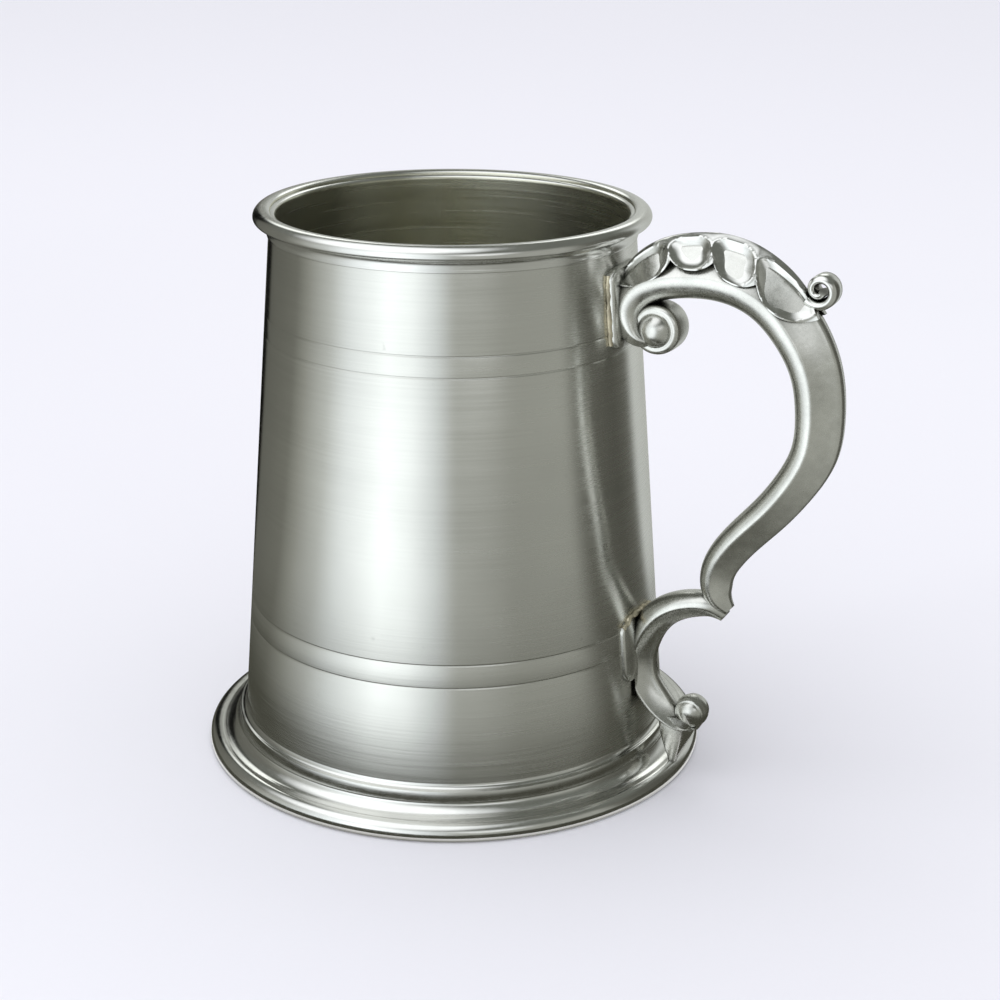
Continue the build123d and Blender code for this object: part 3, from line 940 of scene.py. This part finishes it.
class TANKARD_OT_scrolls(bpy.types.Operator):
    """Builds the big scroll, from the curl against the cup to the tail, and the small scroll below it"""

    bl_idname = "tankard.scrolls"
    bl_label = "Scrolls"

    def execute(self, context):
        cup = context.scene.tankard_cup
        handle = context.scene.tankard_handle
        metal_cast = metals()["cast_metal"]
        # x, z, half width, round side under the fingers, ridged side, ridge, hollow
        big = (
            (47.4, 97.1, 3.6, 0.8, 0.9, 2.4, 0.0),
            (45.8, 97.4, 4.6, 1.2, 1.6, 3.4, 0.0),
            (44.0, 98.2, 5.2, 1.9, 2.2, 4.2, 0.0),
            (42.2, 99.9, 5.5, 3.0, 2.4, 4.6, 0.0),
            (41.1, 101.9, 5.5, 3.8, 2.4, 4.6, 0.0),
            (40.9, 104.0, 5.5, 4.3, 2.4, 4.4, 0.0),
            (41.6, 106.2, 5.5, 4.7, 2.6, 3.8, 0.0),
            (43.3, 108.4, 5.5, 5.0, 3.4, 2.8, 0.1),
            (46.2, 110.1, 5.5, 5.1, 4.6, 1.6, 0.3),
            (52.5, 111.7, 5.5, 5.2, 6.0, 1.5, 0.35),
            (60.5, 112.0, 5.4, 5.3, 6.2, 1.5, 0.35),
            (69.5, 109.2, 5.3, 5.3, 6.2, 1.5, 0.35),
            (76.4, 102.7, 5.2, 5.1, 6.2, 1.4, 0.4),
            (80.8, 94.4, 5.0, 4.9, 5.8, 1.4, 0.4),
            (82.0, 86.5, 4.9, 4.7, 5.6, 1.3, 0.4),
            (81.2, 78.3, 4.7, 4.3, 5.5, 1.3, 0.4),
            (77.7, 71.0, 4.5, 3.9, 5.1, 1.2, 0.4),
            (72.8, 64.2, 4.3, 3.7, 4.8, 1.2, 0.35),
            (67.6, 58.4, 4.1, 3.5, 4.7, 1.1, 0.35),
            (63.6, 52.8, 3.9, 3.5, 4.4, 1.1, 0.3),
            (61.9, 47.8, 3.6, 3.3, 3.9, 1.0, 0.25),
            (62.6, 43.6, 3.1, 2.6, 3.2, 0.9, 0.2),
            (65.2, 40.9, 1.6, 1.2, 1.4, 0.5, 0.0),
        )
        seat = (cup.base_radius + handle.upper_pad - 0.25 * MM, cup.slope)
        piece = scroll("big_scroll", smooth_line(big, 210), handle.section_points, metal_cast, seat)
        finish_piece(piece, "cast_pewter", "handle_main_scroll")
        # the same, but here the round side lies against the cup
        small = (
            (64.2, 39.2, 1.6, 1.6, 1.2, 0.4, 0.0),
            (61.2, 40.9, 2.9, 2.7, 2.3, 0.7, 0.15),
            (57.5, 40.9, 3.5, 3.0, 2.9, 0.9, 0.25),
            (53.6, 39.6, 3.9, 3.2, 3.2, 1.0, 0.3),
            (50.0, 36.9, 4.2, 3.6, 3.4, 1.1, 0.6),
            (46.8, 32.0, 4.4, 3.4, 3.6, 1.3, 0.8),
            (45.3, 27.0, 4.5, 2.8, 3.8, 1.4, 0.8),
            (46.1, 21.6, 4.6, 1.8, 3.8, 1.4, 0.8),
            (49.0, 17.2, 4.6, 1.5, 3.8, 1.3, 0.6),
            (52.9, 14.1, 4.4, 1.2, 2.8, 1.0, 0.15),
            (56.2, 12.8, 3.8, 0.9, 1.6, 0.9, 0.0),
            (59.4, 13.0, 2.4, 0.6, 0.7, 0.7, 0.0),
        )
        seat = (cup.base_radius + handle.lower_pad - 0.2 * MM, cup.slope)
        piece = scroll("small_scroll", smooth_line(small, 130), handle.section_points, metal_cast, seat)
        finish_piece(piece, "cast_pewter", "handle_lower_scroll")
        return {"FINISHED"}


def set_in_plane(middle):
    """The move from the origin to a point of the handle's plane, given in millimetres."""
    x, z = middle
    return Matrix.Translation((x * MM, 0, z * MM))


class TANKARD_OT_balls(bpy.types.Operator):
    """Builds the domed volute inside the big scroll and the ball inside the small one"""

    bl_idname = "tankard.balls"
    bl_label = "Volute and ball"

    def execute(self, context):
        handle = context.scene.tankard_handle
        finish = metals()
        tree = tree_named("Spun metal", spun_tree)
        upright = Matrix.Rotation(math.radians(90), 4, "X")
        big = handle.volute_radius / MM
        domed = [(0, 5.6), (1.0, 5.48), (2.0, 5.05), (2.8, 4.4), (3.3, 3.75), (3.6, 3.4)]
        domed += [(3.9, 3.42), (4.4, 3.4), (big - 0.3, 2.9), (big - 0.05, 1.8), (big, 0.6)]
        domed = [tuple(p) for p in smooth_line(domed, 60)]
        domed[0] = (0, domed[0][1])
        whole = domed + [(r, -y) for r, y in domed[::-1]]
        piece = grown(
            "volute",
            profile("volute_profile", whole),
            tree,
            place=set_in_plane(VOLUTE_MIDDLE) @ upright,
            Segments=96,
            Crease=1.4,
            Material=finish["cast_metal"],
        )
        finish_piece(piece, "cast_pewter", "volute_ball")
        small = handle.ball_radius / MM
        ball = [(0, small), (1.2, 3.4), (2.1, 2.92), (2.6, 2.45), (2.75, 2.25)]
        ball += [(2.95, 2.2), (3.25, 1.6), (3.5, 0.8), (small, 0.2)]
        ball = [tuple(p) for p in smooth_line(ball, 40)]
        ball[0] = (0, ball[0][1])
        whole = ball + [(r, -y) for r, y in ball[::-1]]
        piece = grown(
            "small_ball",
            profile("ball_profile", whole),
            tree,
            place=set_in_plane(BALL_MIDDLE) @ upright,
            Segments=72,
            Crease=1.4,
            Material=finish["cast_metal"],
        )
        finish_piece(piece, "polished_pewter", "lower_scroll_ball")
        return {"FINISHED"}


def eased(value, low, high):
    """Smooth step from nothing at low to one at high."""
    t = min(max((value - low) / (high - low), 0.0), 1.0)
    return t * t * (3 - 2 * t)


def leaf_side(edge, crown, edge_width, u, depth, across=30):
    """One side of the leaf at share u along a lobe, from its lower edge up to the crown.

    Gives x, distance from the handle's plane and z of each point, in millimetres. The lobe is
    dished inside a raised border.
    """
    (ex, ez), (cx, cz) = edge, crown
    nx, nz = cx - ex, cz - ez
    size = math.hypot(nx, nz) + 1e-9
    side = []
    for k in range(across):
        v = k / across
        w = edge_width * (1 - v) ** 0.8 + 0.42 * math.sin(math.pi * v)
        # 0 on the lobe's outline, 1 in its middle
        du = abs(2 * u - 1)
        dv = abs(2 * (v - 0.01) / 0.90 - 1)
        inward = 1 - (du**3.2 + dv**3.2) ** (1 / 3.2)
        sink = depth * math.sin(math.pi / 2 * min(max((inward - 0.05) / 0.7, 0.0), 1.0))
        w += 0.22 * (1 - eased(abs(inward - 0.02), 0.01, 0.06)) - 0.85 * sink
        x = ex + nx * v**0.95 - 0.5 * sink * nx / size
        z = ez + nz * v**0.95 - 0.5 * sink * nz / size
        side.append((x, max(w, 0.0), z))
    side.append((cx, 0.0, cz))
    return side


class TANKARD_OT_leaf(bpy.types.Operator):
    """Builds the leaf of dished lobes over the arch and its rolled tip for the thumb"""

    bl_idname = "tankard.leaf"
    bl_label = "Leaf and thumb curl"

    def execute(self, context):
        cup = context.scene.tankard_cup
        handle = context.scene.tankard_handle
        material = metals()["bright_metal"]
        depth = handle.lobe_depth / MM
        crown_points = ((37.6, 108.9), (42.7, 115.0), (49.1, 118.7), (55.4, 120.1), (59.6, 120.4))
        crown_points += ((67.0, 119.1), (73.3, 115.8), (76.6, 113.0), (79.6, 109.4))
        crown = smooth_line(crown_points, 400)
        cusps = ((40.6, 108.6), (51.2, 115.0), (60.2, 115.4), (69.2, 112.0), (81.6, 106.0))
        crown_x = (38.4, 48.9, 58.4, 68.0, 79.4)
        sags = (1.9, 1.7, 2.0, 3.0)
        per_lobe = 34
        rings = []
        for lobe in range(4):
            (ax, az), (bx, bz) = cusps[lobe], cusps[lobe + 1]
            chord = math.hypot(bx - ax, bz - az)
            fall = ((bz - az) / chord, -(bx - ax) / chord)
            last_lobe = lobe == 3
            for step in range(per_lobe + (1 if last_lobe else 0)):
                u = step / per_lobe
                sag = sags[lobe] * (1 - abs(2 * u - 1) ** 2.4)
                ex = ax + (bx - ax) * u + fall[0] * sag
                ez = az + (bz - az) * u + fall[1] * sag
                cx = crown_x[lobe] + (crown_x[lobe + 1] - crown_x[lobe]) * u
                cz = float(np.interp(cx, crown[:, 0], crown[:, 1]))
                edge_width = 4.7 + 0.7 * (1 - abs(2 * u - 1) ** 2.4)
                if last_lobe:
                    edge_width -= 1.9 * eased(u, 0.45, 1.0)
                outer = leaf_side((ex, ez), (cx, cz), edge_width, u, depth)
                left = [(x, -w, z) for x, w, z in outer]
                right = outer[-2::-1]
                inner_right = []
                for v in (0.0, 0.35, 0.7):
                    x = ex + (cx - ex) * v * 0.9
                    z = ez + (cz - ez) * v * 0.9
                    inner_right.append((x, (edge_width - 1.1) * (1 - v) ** 0.9, z))
                inner_left = [(x, -w, z) for x, w, z in inner_right[::-1]]
                ring = left + right + inner_right + inner_left
                seat = cup.base_radius / MM + handle.upper_pad / MM - 0.2
                clear = []
                for x, y, z in ring:
                    reach = math.hypot(x, y)
                    need = seat - cup.slope * z
                    grow = max(1.0, need / reach)
                    clear.append((x * grow * MM, y * grow * MM, z * MM))
                rings.append(clear)
        piece = lofted("leaf_cap", rings, material, crease=55)
        finish_piece(piece, "polished_pewter", "handle_leaf_cap")

        turns = []
        for i in range(90):
            t = i / 89
            angle = math.radians(-140 + 455 * t)
            radius = 3.35 - 2.6 * t
            half = 2.3 + 0.6 * t
            thick = 1.15 - 0.3 * t
            turns.append(
                (
                    CURL_MIDDLE[0] + radius * math.cos(angle),
                    CURL_MIDDLE[1] + radius * math.sin(angle),
                    half,
                    thick,
                    1.05 * thick,
                    half * 0.6,
                    -0.25,
                )
            )
        turns = turns[::-1]
        piece = scroll("thumb_roll", turns, 40, material, crease=1.2)
        finish_piece(piece, "polished_pewter", "thumb_curl")
        return {"FINISHED"}


class TANKARD_OT_tail(bpy.types.Operator):
    """Builds the wedge that runs from the small scroll down to the foot"""

    bl_idname = "tankard.tail"
    bl_label = "Tail"

    def execute(self, context):
        levels = smooth_line(
            # height, middle x, length, width
            (
                (15.0, 54.9, 8.0, 6.4),
                (12.0, 54.7, 7.0, 6.6),
                (9.0, 54.4, 5.3, 5.3),
                (6.0, 54.0, 3.2, 3.4),
                (4.2, 53.8, 1.9, 2.2),
                (3.0, 53.7, 1.2, 1.6),
            ),
            28,
        )
        rings = []
        for z, middle, long, wide in levels:
            ring = []
            for step in range(40):
                turn = math.tau * step / 40
                c, s = math.cos(turn), math.sin(turn)
                x = middle + long / 2 * math.copysign(abs(c) ** 0.3, c)
                y = wide / 2 * math.copysign(abs(s) ** 0.3, s)
                y *= 1 - 0.3 * max(0.0, c) ** 2
                ring.append((x * MM, y * MM, z * MM))
            rings.append(ring)
        piece = lofted("tail_wedge", rings, metals()["cast_metal"], crease=60)
        finish_piece(piece, "cast_pewter", "handle_tail")
        return {"FINISHED"}


# ------------------------------------------------------------------ stage
def stage_material(name, build):
    """A stage material with the given node recipe."""
    made = bpy.data.materials.new(name)
    made.use_nodes = True
    tree = made.node_tree
    tree.nodes.clear()
    out = tree.nodes.new("ShaderNodeOutputMaterial")
    tree.links.new(build(tree), out.inputs["Surface"])
    return made


def along_floor(tree, x, y, way):
    """How far a place lies along a level direction."""
    return calc(
        tree, "ADD", calc(tree, "MULTIPLY", x, float(way[0])), calc(tree, "MULTIPLY", y, float(way[1]))
    )


def facing_box(tree, reach, level, height):
    """How nearly a direction points at a box that lies that way on the level and that high."""
    toward = Vector((level[0], level[1], height)).normalized()
    return calc_vector(tree, "DOT_PRODUCT", reach, tuple(toward)).outputs["Value"]


def paper_surface(tree, tone):
    """Pale paper with a faint fibre."""
    place = tree.nodes.new("ShaderNodeTexCoord").outputs["Object"]
    fibre = noise(tree, place, 900.0, 4.0)
    shade = tinted(tree, fibre, tuple(c * 0.985 for c in tone), tone)
    bump = add_node(tree, "ShaderNodeBump", {"Strength": 0.04, "Distance": 0.0002, "Height": fibre})
    return add_node(
        tree,
        "ShaderNodeBsdfPrincipled",
        {"Base Color": shade, "Roughness": 0.9, "Normal": bump.outputs[0]},
    ).outputs[0]


def card_glow(tree, ahead, aside):
    """Light of the soft cards: bright and dark bands round the table, and boxes above them."""
    place = tree.nodes.new("ShaderNodeTexCoord").outputs["Object"]
    x, y, z = split(tree, place)
    forward = along_floor(tree, x, y, -ahead)
    right = along_floor(tree, x, y, aside)
    turn = calc(tree, "ARCTAN2", right, forward)
    share_round = ranged(tree, turn, -math.pi, math.pi, 0.0, 1.0)
    ramp = add_node(tree, "ShaderNodeValToRGB", {0: share_round})
    ramp.color_ramp.interpolation = "LINEAR"
    # degrees round the table, 0 on the camera's side and rising to its right, and the light there
    stops = (
        (-180, 0.60), (-166, 0.20), (-158, 0.01), (-145, 0.00), (-141, 0.14), (-120, 0.18),
        (-104, 0.22), (-92, 0.40), (-74, 0.72), (-60, 1.20), (-36, 1.75), (-22, 1.55),
        (-8, 1.00), (2, 0.55), (30, 0.42), (66, 0.44), (76, 0.16), (104, 0.10), (120, 0.14),
        (128, 0.72), (150, 0.55), (180, 0.60),
    )
    elements = ramp.color_ramp.elements
    while len(elements) > 1:
        elements.remove(elements[-1])
    for index, (degrees, light) in enumerate(stops):
        spot = (degrees + 180) / 360
        if index == 0:
            element = elements[0]
            element.position = spot
        else:
            element = elements.new(spot)
        cool = min(light, 1.0)
        warm = 1 - cool
        element.color = (light * (1 - 0.05 * cool), light, light * (1 - 0.16 * warm + 0.03 * cool), 1)
    from_middle = join(tree, x, y, calc(tree, "SUBTRACT", z, 0.07))
    reach = calc_vector(tree, "NORMALIZE", from_middle).outputs[0]
    above = ranged(tree, split(tree, reach)[2], 0.35, 0.62, 0.0, 1.0)
    facing = facing_box(tree, reach, ahead * -0.25 - aside * 0.42, 0.87)
    box = ranged(tree, facing, 0.72, 0.90, 0.0, 1.0)
    ceiling = tinted(tree, box, (0.18, 0.19, 0.17), (1.5, 1.54, 1.58))
    low_share = ranged(tree, split(tree, reach)[2], -0.66, -0.42, 0.0, 1.0)
    table_tone = tinted(tree, low_share, (0.07, 0.07, 0.055), ramp.outputs[0])
    facing = facing_box(tree, reach, ahead * -0.85 + aside * 0.25, 0.50)
    key = ranged(tree, facing, 0.93, 0.985, 0.0, 1.0)
    walls = tinted(tree, key, table_tone, (1.25, 1.28, 1.3))
    painted = tinted(tree, above, walls, ceiling)
    for across in (-0.24, 0.24):
        facing = facing_box(tree, reach, ahead * 0.80 + aside * across, 0.58)
        lit = ranged(tree, facing, 0.975, 0.993, 0.0, 1.0)
        painted = tinted(tree, lit, painted, (1.7, 1.75, 1.7))
    glow = add_node(tree, "ShaderNodeEmission", {"Color": painted, "Strength": 1.0})
    return glow.outputs[0]


class TANKARD_OT_stage(bpy.types.Operator):
    """Lays the pale paper, sets up the soft light and the camera"""

    bl_idname = "tankard.stage"
    bl_label = "Stage"

    def execute(self, context):
        stage = context.scene.tankard_stage
        scene = context.scene
        heading = math.radians(VIEW_HEADING)
        ahead = np.array([-math.sin(heading), math.cos(heading)])
        aside = np.array([math.cos(heading), math.sin(heading)])

        floor = bpy.data.meshes.new("paper")
        corners = []
        for along, side in ((-2.5, -2.5), (-2.5, 2.5), (4.0, 2.5), (4.0, -2.5)):
            x, y = ahead * along + aside * side
            corners.append((x, y, 0.0))
        floor.from_pydata(corners, [], [(0, 1, 2, 3)])
        paper_tone = tuple(stage.paper)
        floor.materials.append(stage_material("pale_paper", lambda tree: paper_surface(tree, paper_tone)))
        floor_piece = link("paper", floor)
        floor_piece.visible_glossy = False

        # dome of soft cards over the table, seen only in the metal
        tent_line = [(56.5, 0.3), (120, 1), (300, 6), (480, 16), (600, 80)]
        tent_line += [(640, 250), (620, 450), (500, 640), (300, 760), (0, 800)]
        tent = grown(
            "soft_cards",
            profile("card_profile", tent_line),
            tree_named("Spun metal", spun_tree),
            Segments=180,
            Crease=3.0,
            Material=stage_material("soft_card_light", lambda tree: card_glow(tree, ahead, aside)),
        )
        tent.visible_camera = False
        tent.visible_diffuse = False
        tent.visible_shadow = False

        world = bpy.data.worlds.new("Room")
        scene.world = world
        world.use_nodes = True
        background = world.node_tree.nodes["Background"]
        background.inputs["Color"].default_value = (*stage.world, 1)
        background.inputs["Strength"].default_value = 1.0

        # one soft light above, which the metal doesn't mirror
        lamp = bpy.data.lights.new("top_soft_light", "AREA")
        lamp.energy = stage.top_power
        lamp.shape = "SQUARE"
        lamp.size = 1.1
        over = ahead * 0.1 - aside * 0.35
        place = Vector((over[0], over[1], 1.25))
        holder = link("top_soft_light", lamp)
        holder.location = place
        holder.rotation_mode = "QUATERNION"
        holder.rotation_quaternion = (Vector((0, 0, 0.05)) - place).to_track_quat("-Z", "Y")
        holder.visible_glossy = False

        camera_data = bpy.data.cameras.new("camera")
        camera_data.lens = stage.lens
        camera_data.sensor_width = 36.0
        camera_data.clip_start = 0.01
        camera_data.clip_end = 30
        camera = link("camera", camera_data)
        right = Vector(CAMERA_RIGHT).normalized()
        forward = Vector(CAMERA_FORWARD).normalized()
        up = right.cross(forward)
        camera.matrix_world = Matrix.Translation(CAMERA_PLACE) @ Matrix(
            (right, up, -forward)
        ).transposed().to_4x4()
        scene.camera = camera
        scene.view_settings.view_transform = "Standard"
        return {"FINISHED"}


class TANKARD_PT_panel(bpy.types.Panel):
    """Lists the steps that build the tankard and the sizes they use"""

    bl_idname = "TANKARD_PT_panel"
    bl_label = "Pewter Tankard"
    bl_space_type = "VIEW_3D"
    bl_region_type = "UI"
    bl_category = "Tankard"

    def draw(self, context):
        layout = self.layout
        for step in STEPS:
            layout.operator(step.bl_idname)
        for group in (
            context.scene.tankard_cup,
            context.scene.tankard_handle,
            context.scene.tankard_finish,
            context.scene.tankard_stage,
        ):
            box = layout.box()
            for key in group.bl_rna.properties.keys():
                if key not in ("rna_type", "name"):
                    box.prop(group, key)


SETTINGS = (
    ("tankard_cup", TankardCupSettings),
    ("tankard_handle", TankardHandleSettings),
    ("tankard_finish", TankardFinishSettings),
    ("tankard_stage", TankardStageSettings),
)
STEPS = (
    TANKARD_OT_drum,
    TANKARD_OT_mouth,
    TANKARD_OT_foot,
    TANKARD_OT_pads,
    TANKARD_OT_scrolls,
    TANKARD_OT_balls,
    TANKARD_OT_leaf,
    TANKARD_OT_tail,
    TANKARD_OT_stage,
)


def register():
    """Adds the settings, the steps and the panel."""
    for name, group in SETTINGS:
        bpy.utils.register_class(group)
        setattr(bpy.types.Scene, name, bpy.props.PointerProperty(type=group))
    for step in STEPS:
        bpy.utils.register_class(step)
    bpy.utils.register_class(TANKARD_PT_panel)


def unregister():
    """Takes them away again."""
    bpy.utils.unregister_class(TANKARD_PT_panel)
    for step in reversed(STEPS):
        bpy.utils.unregister_class(step)
    for name, group in reversed(SETTINGS):
        delattr(bpy.types.Scene, name)
        bpy.utils.unregister_class(group)


def main():
    """Runs every step in order."""
    register()
    for step in STEPS:
        group, action = step.bl_idname.split(".")
        getattr(getattr(bpy.ops, group), action)()


if __name__ == "__main__":
    main()
